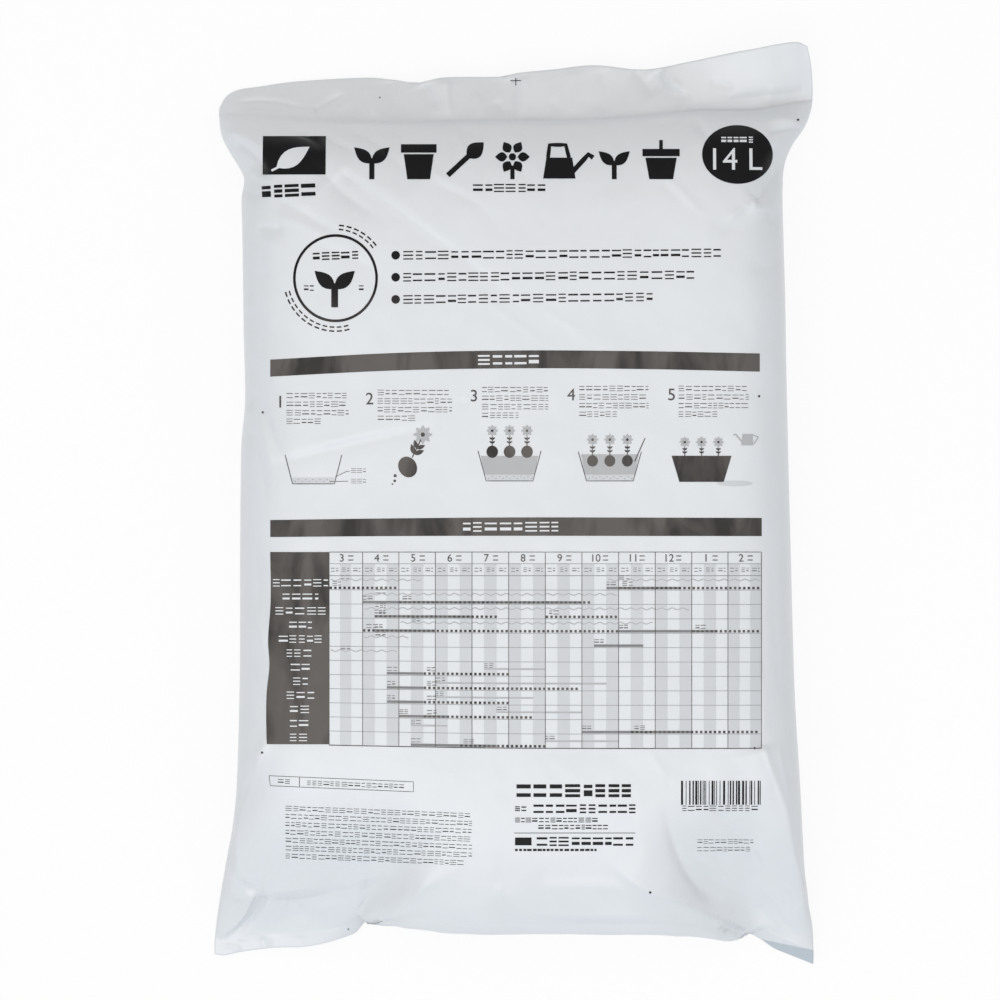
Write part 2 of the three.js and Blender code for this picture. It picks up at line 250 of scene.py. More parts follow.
# The film's folds and creases in mm, seen from above: path, height (below 0 is a valley), reach to
# the left and to the right of the path, and the shares of it over which it starts and fades.
CREASES = [
    ([(-108, 208), (-100, 201), (-73, 182), (-52, 166), (-40, 158), (-4, 129),
      (16, 108)], -2.6, 1.7, 13, 0.12, 0.55),
    ([(-100, 201), (-73, 181), (-52, 165), (-38, 157)], 0.8, 1.6, 1.4, 0.1, 0.3),
    ([(-129, 213), (-115, 202), (-105, 192), (-88, 180), (-71, 171)], -2.6, 7, 8, 0.2, 0.45),
    ([(-156, 194), (-141, 186), (-130, 180), (-119, 173), (-105, 165)], -1.9, 1.5, 9, 0.25, 0.35),
    ([(-153, 181), (-139, 175), (-122, 168), (-102, 156)], 1.2, 5, 5, 0.3, 0.5),
    ([(-160, 170), (-155, 171), (-149, 170), (-143, 172)], -1.5, 1.6, 3.4, 0.2, 0.2),
    ([(-159, 165), (-148, 160), (-133, 150)], 0.9, 3, 3, 0.3, 0.5),
    ([(-167, 150), (-156, 141), (-143, 127), (-135, 115)], -0.8, 3, 5, 0.3, 0.4),
    ([(-175, 222), (-166, 216), (-159, 209), (-151, 202)], -4.2, 4, 4, 0.05, 0.4),
    ([(-179, 230), (-167, 227), (-156, 219), (-145, 208)], 2.2, 5, 3, 0.1, 0.5),
    ([(-166, 207), (-156, 201), (-145, 198)], 1.6, 2.4, 3, 0.2, 0.4),
    ([(-168, 194), (-161, 191), (-151, 189)], -1.2, 2.4, 2.6, 0.1, 0.5),
    ([(-56, 202), (-40, 194), (-24, 186), (-15, 177), (-10, 167)], -1.1, 1.8, 6, 0.25, 0.3),
    ([(-68, 219), (-56, 209), (-42, 199), (-27, 191)], 0.7, 3, 2.2, 0.3, 0.5),
    ([(-88, 224), (-76, 214), (-63, 203), (-52, 191)], -0.7, 3, 4, 0.3, 0.5),
    ([(-41, 233), (-36, 228), (-30, 218), (-25, 207)], 0.9, 1.8, 1.8, 0.2, 0.5),
    ([(-19, 230), (-9, 222), (-1, 209)], -0.6, 2.5, 2.5, 0.3, 0.5),
    ([(14, 180), (21, 171), (26, 163)], -0.35, 2, 2.5, 0.4, 0.4),
    ([(-27, 135), (-9, 119), (9, 106), (21, 95)], 0.55, 1.3, 1.3, 0.25, 0.4),
    ([(12, 124), (29, 113), (45, 104)], 0.45, 1.3, 1.3, 0.3, 0.4),
    ([(-133, 168), (-112, 156), (-88, 145), (-66, 126)], -1.05, 3, 6, 0.3, 0.5),
    ([(-170, 239), (-149, 237), (-138, 233), (-126, 227), (-118, 218)], -3.3, 2.4, 3.2, 0.1, 0.4),
    ([(-133, 237), (-117, 235), (-102, 233), (-84, 233), (-74, 235)], -3, 1.6, 2.4, 0.15, 0.2),
    ([(-122, 232), (-112, 225), (-102, 220), (-94, 213)], -2.1, 2.2, 3, 0.2, 0.5),
    ([(-102, 232), (-94, 229), (-86, 224), (-76, 216)], -1.95, 1.8, 2.6, 0.2, 0.5),
    ([(-79, 234), (-73, 231), (-67, 227)], -1.65, 1.8, 2.4, 0.2, 0.4),
    ([(-48, 237), (-41, 236), (-35, 234), (-26, 229), (-20, 220)], -1.8, 1.6, 3, 0.15, 0.45),
    ([(-5, 235), (4, 232), (10, 224)], -1.05, 2, 3, 0.3, 0.4),
    ([(26, 237), (37, 233), (47, 228)], -1.05, 2, 3, 0.3, 0.5),
    ([(47, 237), (72, 238), (88, 239), (103, 241)], -1.95, 1.6, 2.6, 0.2, 0.2),
    ([(78, 238), (92, 237), (102, 239), (109, 242)], -2.1, 2, 2.4, 0.2, 0.1),
    ([(109, 242), (113, 237), (117, 230), (123, 220)], -2.7, 2, 5, 0.15, 0.5),
    ([(115, 240), (134, 242), (148, 242)], -1.2, 1.6, 2.2, 0.2, 0.3),
    ([(93, 203), (103, 193), (113, 182), (123, 175)], 0.8, 1.8, 1.6, 0.2, 0.4),
    ([(88, 201), (98, 191), (108, 181)], -0.6, 2.5, 3, 0.3, 0.5),
    ([(155, 243), (165, 245), (175, 247), (184, 249)], -2.2, 1.8, 3.4, 0.2, 0),
    ([(154, 235), (165, 238), (177, 235), (181, 234)], 2.4, 3.5, 2.2, 0.3, 0),
    ([(155, 230), (165, 232), (179, 232)], -2.6, 2.4, 3.4, 0.3, 0),
    ([(153, 222), (161, 223), (174, 224)], 1.2, 3, 4, 0.4, 0.1),
    ([(169, 213), (161, 199), (155, 191), (148, 185)], -3.4, 2.2, 5.5, 0, 0.15),
    ([(157, 201), (153, 192), (146, 185), (136, 179), (126, 174)], 1.7, 1.8, 2.6, 0.3, 0.3),
    ([(146, 184), (151, 183), (157, 183), (165, 180)], 1.4, 2, 3.5, 0.1, 0.3),
    ([(145, 183), (139, 176), (133, 170), (125, 166)], -1, 3, 3, 0.1, 0.4),
    ([(156, 181), (160, 176), (164, 168)], -1.8, 3, 3, 0.2, 0.3),
    ([(125, 172), (120, 166), (118, 158)], 0.6, 2, 2, 0.3, 0.4),
    ([(164, 150), (154, 146), (143, 145)], -0.8, 3.4, 3, 0, 0.5),
    ([(165, 126), (153, 125), (138, 119)], 0.6, 3.4, 3, 0, 0.5),
    ([(162, 101), (150, 95), (141, 85)], -0.5, 3.4, 3, 0, 0.5),
    ([(-164, 21), (-148, 25), (-128, 30), (-105, 36), (-81, 41), (-63, 45),
      (-40, 51)], -1.5, 1.3, 4.5, 0.3, 0.25),
    ([(-133, 34), (-110, 39), (-88, 45), (-71, 49)], 0.5, 3, 2, 0.3, 0.4),
    ([(-165, 74), (-156, 57), (-149, 39), (-140, 21)], -1.5, 3, 3.5, 0.2, 0.4),
    ([(-167, 62), (-159, 49), (-153, 34), (-148, 15)], 1.2, 3, 3, 0.1, 0.4),
    ([(-166, 46), (-160, 32), (-155, 11), (-153, -4)], -1.4, 3, 3.4, 0.1, 0.4),
    ([(-34, 64), (-32, 62), (-27, 61)], -0.8, 1, 1.6, 0.2, 0.3),
    ([(-51, 7), (-45, 1), (-37, -5)], -0.25, 1.6, 1.6, 0.3, 0.3),
    ([(-167, 95), (-156, 88), (-144, 69), (-133, 46)], 0.7, 4, 4, 0.2, 0.5),
    ([(-166, 119), (-155, 108), (-145, 92)], -0.7, 4, 4, 0.2, 0.5),
    ([(-27, 65), (-9, 72), (14, 79)], 0.25, 2.5, 2.5, 0.4, 0.5),
    ([(-153, -35), (-149, -60), (-148, -85), (-151, -107)], 0.9, 2.2, 2.2, 0.2, 0.3),
    ([(-144, -60), (-141, -91), (-143, -122), (-146, -147)], -0.8, 2.6, 2.6, 0.3, 0.3),
    ([(-135, -72), (-131, -102), (-134, -132)], 0.45, 2.4, 2.4, 0.3, 0.4),
    ([(-162, -23), (-159, -47), (-160, -76)], -1, 2.6, 2.6, 0.3, 0.4),
    ([(-167, -85), (-162, -107), (-155, -125), (-150, -137)], -1.2, 3, 3, 0.2, 0.4),
    ([(-164, -60), (-156, -81), (-154, -102)], 1, 2.6, 2.6, 0.3, 0.4),
    ([(-150, -139), (-154, -150), (-164, -174), (-170, -191), (-172, -209), (-170, -228),
      (-159, -240)], 2.6, 3.4, 5, 0.2, 0.1),
    ([(-156, -154), (-167, -180), (-174, -200), (-176, -220), (-175, -233)], -2.6, 4, 3, 0.2, 0.3),
    ([(-161, -239), (-166, -251), (-174, -262), (-186, -272)], 4.2, 1.6, 6.5, 0.1, 0.1),
    ([(-154, -244), (-161, -256), (-170, -265), (-177, -271)], -3.4, 1.3, 3.4, 0.08, 0.1),
    ([(-180, -238), (-172, -243), (-164, -242), (-157, -240)], 1.4, 2, 2, 0.3, 0.1),
    ([(-181, -248), (-175, -249), (-167, -246)], -1.2, 2, 2, 0.3, 0.3),
    ([(-172, -231), (-165, -236), (-159, -241)], -1, 1.6, 1.6, 0.3, 0.2),
    ([(-159, -240), (-154, -235), (-150, -226), (-148, -215)], 1.2, 2.4, 2.6, 0.1, 0.5),
    ([(-157, -239), (-148, -240), (-133, -238), (-119, -238), (-104, -235)], 1.8, 5, 3, 0.05, 0.5),
    ([(-153, -246), (-140, -248), (-125, -246), (-112, -242), (-102, -239)], -2.6, 2.4, 9, 0.2, 0.5),
    ([(-143, -248), (-133, -253), (-130, -262)], -1.8, 3, 6, 0.2, 0.4),
    ([(-125, -254), (-114, -249), (-102, -247), (-92, -248)], 2, 3, 7, 0.2, 0.4),
    ([(-102, -243), (-94, -240), (-87, -236), (-79, -232)], -0.7, 1.8, 4.5, 0.2, 0.3),
    ([(-102, -252), (-92, -243), (-79, -235)], 1.5, 9, 12, 0.35, 0.4),
    ([(-112, -237), (-102, -235), (-92, -232), (-78, -227)], 1.2, 4, 1.8, 0.2, 0.3),
    ([(-68, -228), (-71, -237), (-71, -246)], -0.6, 2.4, 3.4, 0.3, 0.4),
    ([(-58, -236), (-62, -241), (-66, -246)], -0.7, 1.6, 3, 0.3, 0.3),
    ([(-94, -262), (-86, -256), (-77, -252), (-68, -248), (-62, -244), (-56, -238), (-45, -232),
      (-27, -222)], 2.2, 8, 2.4, 0, 0.4),
    ([(-92, -261), (-83, -261), (-74, -261), (-66, -259)], -4.5, 1.6, 2, 0, 0.7),
    ([(-83, -261), (-69, -258), (-52, -257), (-27, -258)], -1.6, 1.6, 2.4, 0.1, 0.6),
    ([(-68, -249), (-63, -248), (-58, -246)], -0.7, 1.4, 1.4, 0.3, 0.3),
    ([(-11, -236), (-9, -241), (-6, -247)], 0.9, 1, 1.4, 0.3, 0.3),
    ([(-19, -222), (-15, -228), (-12, -233)], 0.35, 1.4, 1.4, 0.4, 0.4),
    ([(-179, -271), (-157, -267), (-133, -266), (-114, -263), (-98, -256)], 1.1, 1.2, 1.2, 0.1, 0.2),
    ([(-156, -268), (-155, -273)], -1.4, 2.2, 2.2, 0, 0),
    ([(-9, -259), (29, -260), (78, -261), (97, -262), (136, -264)], -1.6, 1.2, 2.2, 0.25, 0.1),
    ([(4, -254), (35, -256), (66, -256), (91, -257)], 0.9, 2, 1.4, 0.3, 0.3),
    ([(9, -236), (26, -237), (47, -236), (63, -238), (78, -245)], 0.9, 3, 4, 0.3, 0.3),
    ([(53, -216), (63, -226), (72, -233), (82, -239), (91, -243), (107, -249), (125, -257),
      (141, -264), (157, -271), (185, -280)], 3, 7, 3.4, 0.3, 0),
    ([(125, -262), (135, -266), (148, -269)], -3.6, 1.2, 2.4, 0.4, 0.1),
    ([(78, -236), (88, -247), (98, -251)], 0.7, 1.4, 1.6, 0.3, 0.3),
    ([(91, -184), (95, -200), (101, -218), (110, -235), (120, -245), (133, -251)], -2.8, 9, 2.4, 0.35, 0.25),
    ([(118, -184), (128, -194), (140, -207), (150, -221), (156, -236)], -2, 6, 4, 0.3, 0.3),
    ([(115, -215), (125, -225), (134, -236), (143, -249)], 0.7, 3, 3, 0.3, 0.4),
    ([(153, -149), (156, -161), (161, -175), (166, -191), (170, -212), (174, -228), (178, -247),
      (181, -271)], 4.8, 4.4, 8, 0.06, 0.2),
    ([(150, -152), (156, -165), (160, -179), (164, -196)], -1.2, 6, 2.4, 0.15, 0.4),
    ([(162, -145), (165, -165), (169, -184), (174, -205)], 1.4, 1.4, 3, 0.2, 0.4),
    ([(166, -236), (172, -243), (176, -253)], -1.4, 2, 2, 0.3, 0.3),
    ([(153, -241), (161, -251), (171, -264), (180, -274)], -1, 2.6, 3, 0.3, 0.2),
    ([(143, -242), (153, -256), (165, -268)], 0.8, 2.2, 2.2, 0.3, 0.3),
    ([(143, -209), (151, -216), (160, -228)], 0.8, 3, 3, 0.3, 0.4),
    ([(83, -153), (88, -160), (95, -171)], 0.35, 1.4, 1.4, 0.3, 0.3),
    ([(93, -173), (95, -174), (97, -174)], -0.3, 0.9, 0.9, 0.3, 0.3),
    ([(159, -35), (162, -85), (165, -122)], -0.7, 3, 3, 0.3, 0.3),
    ([(150, -91), (154, -122), (153, -149)], 0.5, 2.4, 2.4, 0.3, 0.2),
]
HEM_CREASES = [
    ([(-158, -266), (-155, -276)], -1.6, 2.4, 2.4, 0, 0),
    ([(-151, -264), (-149, -276)], 0.9, 2, 2.4, 0, 0),
    ([(-172, -269), (-169, -278)], -0.9, 3, 3, 0, 0),
    ([(-135, -264), (-133, -274)], -0.6, 4, 4, 0, 0),
    ([(-114, -261), (-109, -271)], 0.6, 3, 4, 0, 0),
    ([(-181, -272), (-175, -276), (-167, -277)], 1, 1.6, 1.6, 0.1, 0.3),
]
BAND_CREASES = [
    ([(-175, 248), (-159, 250), (-143, 248), (-125, 244)], -3.4, 1.6, 2.6, 0.2, 0.2),
    ([(-171, 243), (-156, 245), (-139, 242)], -2.21, 1.2, 2, 0.2, 0.3),
    ([(-125, 243), (-115, 249), (-104, 255)], -3.06, 2, 3, 0.1, 0.3),
    ([(-114, 243), (-104, 248), (-98, 250)], 1.36, 2, 2, 0.2, 0.3),
    ([(-91, 260), (-90, 250), (-89, 238)], 1.87, 4, 2, 0.2, 0.2),
    ([(-78, 263), (-76, 250), (-78, 239)], -1.7, 3.4, 4, 0.1, 0.3),
    ([(-56, 260), (-53, 253), (-48, 243)], -3.4, 3, 4, 0.1, 0.3),
    ([(-42, 263), (-42, 251), (-38, 238)], 3.06, 2.6, 5, 0.1, 0.3),
    ([(-25, 255), (-21, 247), (-22, 238)], 1.53, 3, 3, 0.2, 0.2),
    ([(-12, 251), (-9, 245), (-5, 238)], -2.55, 2.6, 3.4, 0.3, 0.1),
    ([(-2, 264), (-1, 253), (-2, 239)], -2.04, 2.2, 2.4, 0.1, 0.2),
    ([(5, 265), (7, 253), (6, 239)], 1.7, 3, 3.6, 0.1, 0.2),
    ([(21, 251), (26, 245), (25, 238)], -1.53, 3, 3, 0.3, 0.1),
    ([(36, 269), (38, 255), (36, 240)], 1.53, 5, 5, 0.1, 0.2),
    ([(53, 270), (56, 255), (52, 240)], -1.53, 4, 4, 0.1, 0.2),
    ([(74, 269), (81, 261), (87, 251)], -3.06, 5, 4, 0.1, 0.3),
    ([(88, 268), (93, 259), (100, 254), (113, 252)], -3.74, 1.8, 5, 0.1, 0.3),
    ([(91, 268), (98, 261), (105, 258)], 2.55, 3, 2, 0.1, 0.3),
    ([(119, 261), (128, 260), (138, 257)], -1.87, 2.4, 3.4, 0.3, 0.3),
    ([(123, 250), (140, 251), (162, 254), (182, 256)], -1.53, 2, 2.4, 0.3, 0.1),
    ([(159, 260), (160, 253), (156, 247)], 1.19, 2, 2, 0.3, 0.3),
    ([(109, 245), (128, 248), (148, 247)], -1.19, 2, 2, 0.2, 0.2),
]


# How round a fold's edge is in mm, how many reaches wide it is worked out, and in how many steps
# from one point of its path to the next.
FOLD_EDGE, FOLD_MARGIN, FOLD_STEPS = 0.45, 6, 4


def fold_relief(x, y, folds):
    """Height that a list of folds adds at points seen from above."""
    total = np.zeros_like(x)
    for path, high, left, right, fade_in, fade_out in folds:
        knots = np.array(path, float)
        at = np.linspace(0, 1, len(knots))
        t = np.linspace(0, 1, FOLD_STEPS * (len(knots) - 1) + 1)
        line = np.stack([curve(*zip(at, knots[:, k]))(t) for k in (0, 1)], 1)
        margin = FOLD_MARGIN * max(left, right)
        near = ((x > line[:, 0].min() - margin) & (x < line[:, 0].max() + margin)
                & (y > line[:, 1].min() - margin) & (y < line[:, 1].max() + margin))
        px, py = x[near], y[near]
        best, where, side = np.full(len(px), np.inf), np.zeros(len(px)), np.ones(len(px))
        for i, (a, b) in enumerate(zip(line, line[1:])):
            dx, dy = b - a
            along = np.clip(((px - a[0]) * dx + (py - a[1]) * dy) / (dx * dx + dy * dy), 0, 1)
            off = np.hypot(px - a[0] - along * dx, py - a[1] - along * dy)
            closer = off < best
            turn = np.sign(dx * (py - a[1]) - dy * (px - a[0]))
            best, side = np.where(closer, off, best), np.where(closer, turn, side)
            where = np.where(closer, (i + along) / (len(line) - 1), where)
        reach = np.where(side > 0, left, right)
        crest = np.exp(-(np.sqrt(best**2 + FOLD_EDGE**2) - FOLD_EDGE) / reach)
        fade = 1.0
        if fade_in:
            fade = smooth(0, fade_in, where)
        if fade_out:
            fade = fade * (1 - smooth(1 - fade_out, 1, where))
        total[near] += high * fade * crest
    return total


def ripples(x, y, seed, length):
    """Soft random height from -1 to 1 that changes over the given length."""
    cells = 128
    grid = np.random.default_rng(seed).uniform(-1, 1, (cells, cells))
    u, v = x / length + 64.3, y / length + 64.7
    i, j = np.floor(u).astype(int), np.floor(v).astype(int)
    a, b = u - i, v - j
    a, b = a * a * (3 - 2 * a), b * b * (3 - 2 * b)
    g = lambda di, dj: grid[(i + di) % cells, (j + dj) % cells]
    return ((g(0, 0) * (1 - a) + g(1, 0) * a) * (1 - b) + (g(0, 1) * (1 - a) + g(1, 1) * a) * b)


def relief(x, y):
    """Everything that the film's folds, creases and the lumps of compost add to its height."""
    lumps = (0.6 * ripples(x, y, 1, 31) + 0.3 * ripples(x, y, 2, 13) + 0.1 * ripples(x, y, 3, 6)
             + 0.03 * ripples(x, y, 4, 3))
    return fold_relief(x, y, CREASES) + lumps


def tucked(across, go=0.0):
    """1 where the full end hangs out over the bottom weld, 0 in the ears. Higher up along the bag,
    as go grows, the ears' edges lean in over it a little."""
    lean = np.maximum(go - 0.012, 0)
    return (smooth(-0.535, -0.48, across - 3.2 * lean) * (0.82 + 0.18 * smooth(-0.5, -0.15, across))
            * (1 - smooth(0.72, 0.88, across + 4 * lean)))


def slack(across):
    """1 in the ears, where the film rises gently, 0 over the full end."""
    return 1 - smooth(-0.66, -0.28, across) * (1 - smooth(0.42, 0.86, across))


def places(count):
    """Places across the bag from -1 to 1, closer together towards its two sides."""
    even = np.linspace(-1, 1, count + 1)
    return 0.65 * even + 0.35 * np.sin(even * math.pi / 2)


def body(step, across, upper):
    """Rows of the filled part, from the bottom weld at step 0 to the top weld at step 1: the front
    if upper is true, else the back, which the floor presses flat."""
    go = step - 0.05 * np.sin(2 * math.pi * step)
    bottom_end, top_end = np.minimum(go / 0.24, 1), np.minimum((1 - go) / 0.29, 1)
    full_rise, slack_rise = np.sqrt(1 - (1 - bottom_end) ** 2.8), (1 - (1 - bottom_end) ** 2) ** 1.3
    lift = (full_rise + (slack_rise - full_rise) * slack(across)) * np.sqrt(1 - (1 - top_end) ** 3.1)
    hang = tucked(across, go) * (go / 0.03) * np.exp(1 - go / 0.03) * OVERHANG
    y = HALF_L * (bottom_weld(across) * (1 - go) + top_crease(across) * go) - hang
    left = left_side(bottom_weld(-1) * (1 - go) + top_crease(-1) * go)
    right = right_side(bottom_weld(1) * (1 - go) + top_crease(1) * go)
    x = HALF_W * (left + (right - left) * (across + 1) / 2)
    full = smooth(0, 0.16, go) * (1 - smooth(0.82, 1, go))
    seam = (bottom_weld_height(across) * (1 - smooth(0, 0.16, go))
            + top_crease_height(across) * smooth(0.82, 1, go) + 0.4 * THICK * full)
    if upper:
        side = (1 - np.abs(across) ** (2.6 + 8.4 * lift)) ** (1 / 2.2)
        crown = THICK * (1 - 0.03 * across**2)
        skin = np.stack([x, y, seam + WELD / 2 + (crown - seam) * lift * side], 2)
        out = np.cross(np.gradient(skin, axis=1), np.gradient(skin, axis=0))
        out /= np.linalg.norm(out, axis=2)[:, :, None]
        kept = np.minimum(1, 2 * side) * smooth(0, 0.02, go) * smooth(0, 0.02, 1 - go)
        skin += out * (relief(x, y) * kept)[:, :, None]
        skin[:, :, 2] = np.maximum(skin[:, :, 2], WELD)
        return skin
    sunk = np.clip(1.15 * np.sqrt(1 - across**4) * smooth(0, 0.07, go) * smooth(0, 0.14, 1 - go), 0, 1)
    return np.stack([x, y, np.maximum(0, (seam - WELD / 2) * (1 - sunk))], 2)


def top_band(out, across, upper):
    """Rows of the welded band that stands up in waves beyond the top weld."""
    left, right = (HALF_W * side(top_crease(end) + out * top_reach(end) * TOP_BAND / HALF_L)
                   for side, end in ((left_side, -1), (right_side, 1)))
    x = left + (right - left) * (across + 1) / 2
    y = HALF_L * top_crease(across) + out * TOP_BAND * top_reach(across)
    z = top_crease_height(across) * (1 - out) + top_edge_height(across) * out
    waves = fold_relief(x, y, BAND_CREASES) + 0.6 * ripples(x, y, 6, 17) + 0.25 * ripples(x, y, 7, 7)
    z = z + smooth(0, 0.2, out) * waves
    return np.stack([x, y, z + (WELD / 2 if upper else -WELD / 2)], 2)


def bottom_band(out, across, upper):
    """Rows of the narrow hem beyond the bottom weld, tucked in under the full end."""
    left, right = left_side(-0.953) * HALF_W, right_side(-0.975) * HALF_W
    x = left + (right - left) * (across + 1) / 2 + 0 * out
    down = tucked(across)
    y = HALF_L * bottom_weld(across) - out * BOTTOM_BAND * (1 - 0.6 * down)
    z = bottom_weld_height(across) * (1 - out * bottom_drop(across))
    z = z + smooth(0, 0.3, out) * (1 - down) * fold_relief(x, y, HEM_CREASES)
    return np.stack([x, y, z + (WELD / 2 if upper else -WELD / 2)], 2)


def film_mesh():
    """The whole skin: rings of points round the bag, closed at both hems."""
    front, back = places(COLUMNS)[None, :], places(BACK_COLUMNS)[None, :]
    rings = []
    for make, steps in (
            (bottom_band, np.linspace(1, 0, BOTTOM_ROWS, endpoint=False)),
            (body, np.linspace(0, 1, BODY_ROWS + 1)),
            (top_band, np.linspace(0, 1, TOP_ROWS + 1)[1:])):
        steps = steps[:, None]
        rings.append(np.concatenate([make(steps, front, True), make(steps, back, False)[:, ::-1]], 1))
    rings = np.concatenate(rings)
    count, size = rings.shape[:2]
    points = rings.reshape(-1, 3)
    points[:, :2] -= (points[:, :2].min(0) + points[:, :2].max(0)) / 2
    start = (np.arange(count - 1) * size)[:, None]
    a, b = start + np.arange(size), start + (np.arange(size) + 1) % size
    faces = np.stack([a, b, b + size, a + size], 2).reshape(-1, 4).tolist()
    each = COLUMNS // BACK_COLUMNS
    last = (count - 1) * size
    for k in range(BACK_COLUMNS):
        edge = list(range(k * each, (k + 1) * each + 1))
        under = [size - 2 - k, size - 1 - k]
        faces.append(tuple(under + edge)[::-1])
        faces.append(tuple(last + i for i in edge + under))
    mesh = bpy.data.meshes.new("film")
    mesh.from_pydata((points / 1000).tolist(), [], faces)
    mesh.polygons.foreach_set("use_smooth", [True] * len(mesh.polygons))
    mesh.validate()
    return mesh


# In the bottom right ear the hem is darkened with painted shade, standing in for the shade it lies in under
# the ear: the painted shade lies below this sloping line and right of this place, both in metres.
HEM_SLOPE, HEM_LINE, HEM_LEFT = 0.205, 0.2389, 0.150


def film_finish(name, colour, roughness, painted_shade=None):
    """Polyethylene film: satin, with the fine uneven skin of blown film. Where a shade colour is given, the
    hem in the bottom right ear takes it as painted shade."""
    skin = finished(name)
    place = skin.node("ShaderNodeTexCoord", output="Object")
    fine = skin.node("ShaderNodeTexNoise", {}, {"Vector": place, "Scale": 260, "Detail": 3})
    cloud = skin.node("ShaderNodeTexNoise", {}, {"Vector": place, "Scale": 34, "Detail": 4})
    dent = skin.node("ShaderNodeBump", {},
                     {"Height": fine * 0.35 + cloud, "Strength": 0.12, "Distance": 0.0015})
    darker, lighter = (tuple(share * c for c in colour) + (1,) for share in (0.97, 1.03))
    tone = skin.node("ShaderNodeMix", {"data_type": "RGBA"},
                     {"Factor": cloud, "A": darker, "B": lighter}, output="Result")
    if painted_shade:
        x, y = (skin.node("ShaderNodeSeparateXYZ", {}, {"Vector": place}, output=axis) for axis in "XY")
        # Mask of the painted shade on the hem in the bottom right ear.
        below = (x * -HEM_SLOPE - y - HEM_LINE).within(0, 0.0008)
        hem = below * x.within(HEM_LEFT, HEM_LEFT + 0.002)
        tone = skin.node("ShaderNodeMix", {"data_type": "RGBA"}, {
            "Factor": hem, "A": tone, "B": painted_shade + (1,)}, output="Result")
    surface = skin.node("ShaderNodeBsdfPrincipled", {}, {
        "Base Color": tone, "Roughness": cloud * 0.16 + (roughness - 0.08), "Normal": dent, "IOR": 1.5})
    skin.node("ShaderNodeOutputMaterial", {}, {"Surface": surface})
    return skin.owner


FILM_WHITE = (0.74, 0.765, 0.79)
# Painted shade for the hem in the bottom right ear.
HEM_PAINTED_SHADE = (0.50, 0.555, 0.60)
FILM_ROUGHNESS = 0.34

white_film = film_finish("white_film", FILM_WHITE, FILM_ROUGHNESS, HEM_PAINTED_SHADE)
film = bpy.data.objects.new("film_bag", film_mesh())
bpy.context.collection.objects.link(film)
film.data.materials.append(white_film)
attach(film, "root")
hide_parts("filled_bag")


# Printing. Black ink on the film's front, solid or as fine dots that read as grey, and bare film
# where a shape is white. Each shape is drawn in mm as seen from above and dropped onto the film,
# whose height is looked up in a square grid. CELL is the usual width of a mesh face.
GRID = 0.8
GRID_HALF_W, GRID_HALF_L = 190, 290
CELL = 1.3


def film_heights():
    """Height of the film's front over a square grid, in mm."""
    verts = [v.co for v in film.data.vertices]
    tree = BVHTree.FromPolygons(verts, [tuple(p.vertices) for p in film.data.polygons])
    xs = np.arange(-GRID_HALF_W, GRID_HALF_W + 1, GRID)
    ys = np.arange(-GRID_HALF_L, GRID_HALF_L + 1, GRID)
    heights = np.full((len(xs), len(ys)), np.nan)
    down = Vector((0, 0, -1))
    for i, x in enumerate(xs):
        for j, y in enumerate(ys):
            hit = tree.ray_cast(Vector((x / 1000, y / 1000, 0.3)), down)[0]
            if hit is not None:
                heights[i, j] = hit.z * 1000
    return heights


heights = film_heights()
slope_x, slope_y = np.gradient(heights, GRID)


def on_film(points, lift):
    """Points seen from above, put on the film and raised by lift along its normal, in metres."""
    points = np.array(points, float)
    u, v = (points[:, 0] + GRID_HALF_W) / GRID, (points[:, 1] + GRID_HALF_L) / GRID
    i, j = np.floor(u).astype(int), np.floor(v).astype(int)
    a, b = u - i, v - j
    at = lambda grid: ((grid[i, j] * (1 - a) + grid[i + 1, j] * a) * (1 - b)
                       + (grid[i, j + 1] * (1 - a) + grid[i + 1, j + 1] * a) * b)
    normal = np.stack([-at(slope_x), -at(slope_y), np.ones(len(u))], 1)
    normal /= np.linalg.norm(normal, axis=1)[:, None]
    return (np.column_stack([points, at(heights)]) + normal * lift) / 1000, normal


